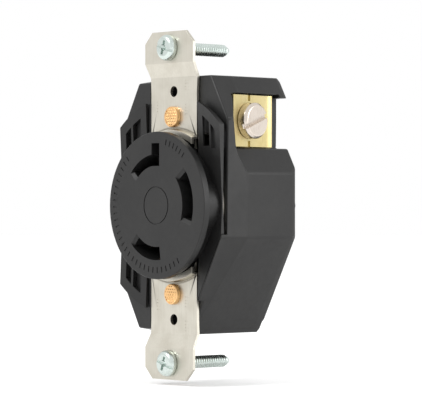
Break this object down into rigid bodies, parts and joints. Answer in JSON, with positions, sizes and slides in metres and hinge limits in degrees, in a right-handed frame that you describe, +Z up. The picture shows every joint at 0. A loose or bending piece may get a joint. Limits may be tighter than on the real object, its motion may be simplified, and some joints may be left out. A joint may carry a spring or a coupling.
{
  "type": "locking receptacle",
  "caption": "Flush locking outlet with a round slotted face, steel mounting strap, moulded body and side clamp terminals.",
  "frame": {"origin": "midway between the two box-mounting screws, on the back plane of the strap's ears", "axes": "+Z up along the strap, +X to the right when facing the outlet, +Y into the wall"},
  "size_m": [0.042, 0.0315, 0.092],
  "materials": {
    "black_moulding": "fine satin moulded surface",
    "carrier_moulding": "dull moulded surface",
    "strap_nickel": "nickel plate, faint rolling lines",
    "contact_brass": "stamped and bright",
    "clamp_brass": "stamped and bright",
    "brass_screw": "turned",
    "silver_screw": "nickel plate, turned",
    "green_screw": "green lacquer over metal",
    "rivet_copper": "stamped copper alloy",
    "screw_zinc": "zinc plate, faint green cast",
    "fibre": "red fibre"
  },
  "bodies": {
    "housing": {"face_cover": "black_moulding", "mounting_strap": "strap_nickel", "rear_body": "black_moulding", "contact_carrier": "carrier_moulding", "neutral_contact": "contact_brass", "line_contact": "contact_brass", "ground_contact": "contact_brass", "ground_link": "contact_brass", "top_rivet": "rivet_copper", "bottom_rivet": "rivet_copper", "left_assembly_screw": "screw_zinc", "right_assembly_screw": "screw_zinc"},
    "neutral_clamp": {"neutral_clamp_plate": "clamp_brass"},
    "neutral_screw": {"neutral_terminal_screw": "silver_screw"},
    "ground_clamp": {"ground_clamp_plate": "clamp_brass"},
    "ground_screw": {"ground_terminal_screw": "green_screw"},
    "line_clamp": {"line_clamp_plate": "clamp_brass"},
    "line_screw": {"line_terminal_screw": "brass_screw"},
    "top_washer": {"top_retaining_washer": "fibre"},
    "top_screw": {"top_mounting_screw": "screw_zinc"},
    "bottom_washer": {"bottom_retaining_washer": "fibre"},
    "bottom_screw": {"bottom_mounting_screw": "screw_zinc"}
  },
  "joints": [
    {"name": "neutral_clamp_slide", "type": "slide", "parent": "housing", "child": "neutral_clamp", "axis": [0.9903, 0.1392, 0], "range_m": [-0.0012, 0.0018]},
    {"name": "neutral_screw_turn", "type": "hinge", "parent": "neutral_clamp", "child": "neutral_screw", "pos_m": [0.01663, 0.01268, 0.0222], "axis": [0.9903, 0.1392, 0], "range_deg": [-545, 817]},
    {"name": "ground_clamp_slide", "type": "slide", "parent": "housing", "child": "ground_clamp", "axis": [-0.9903, 0.1392, 0], "range_m": [-0.0012, 0.0018]},
    {"name": "ground_screw_turn", "type": "hinge", "parent": "ground_clamp", "child": "ground_screw", "pos_m": [-0.01663, 0.01268, 0.0222], "axis": [-0.9903, 0.1392, 0], "range_deg": [-545, 817]},
    {"name": "line_clamp_slide", "type": "slide", "parent": "housing", "child": "line_clamp", "axis": [-0.9903, 0.1392, 0], "range_m": [-0.0012, 0.0018]},
    {"name": "line_screw_turn", "type": "hinge", "parent": "line_clamp", "child": "line_screw", "pos_m": [-0.01663, 0.01268, -0.0222], "axis": [-0.9903, 0.1392, 0], "range_deg": [-545, 817]},
    {"name": "top_screw_play", "type": "slide", "parent": "housing", "child": "top_washer", "axis": [0, -1, 0], "range_m": [0, 0.0022]},
    {"name": "top_screw_turn", "type": "hinge", "parent": "top_washer", "child": "top_screw", "pos_m": [0, 0, 0.04167], "axis": [0, -1, 0], "continuous": true},
    {"name": "bottom_screw_play", "type": "slide", "parent": "housing", "child": "bottom_washer", "axis": [0, -1, 0], "range_m": [0, 0.0022]},
    {"name": "bottom_screw_turn", "type": "hinge", "parent": "bottom_washer", "child": "bottom_screw", "pos_m": [0, 0, -0.04167], "axis": [0, -1, 0], "continuous": true}
  ],
  "couplings": [
    {"joint": "neutral_screw_turn", "follows": "neutral_clamp_slide", "rad_per_m": 7915.8},
    {"joint": "ground_screw_turn", "follows": "ground_clamp_slide", "rad_per_m": 7915.8},
    {"joint": "line_screw_turn", "follows": "line_clamp_slide", "rad_per_m": 7915.8}
  ]
}
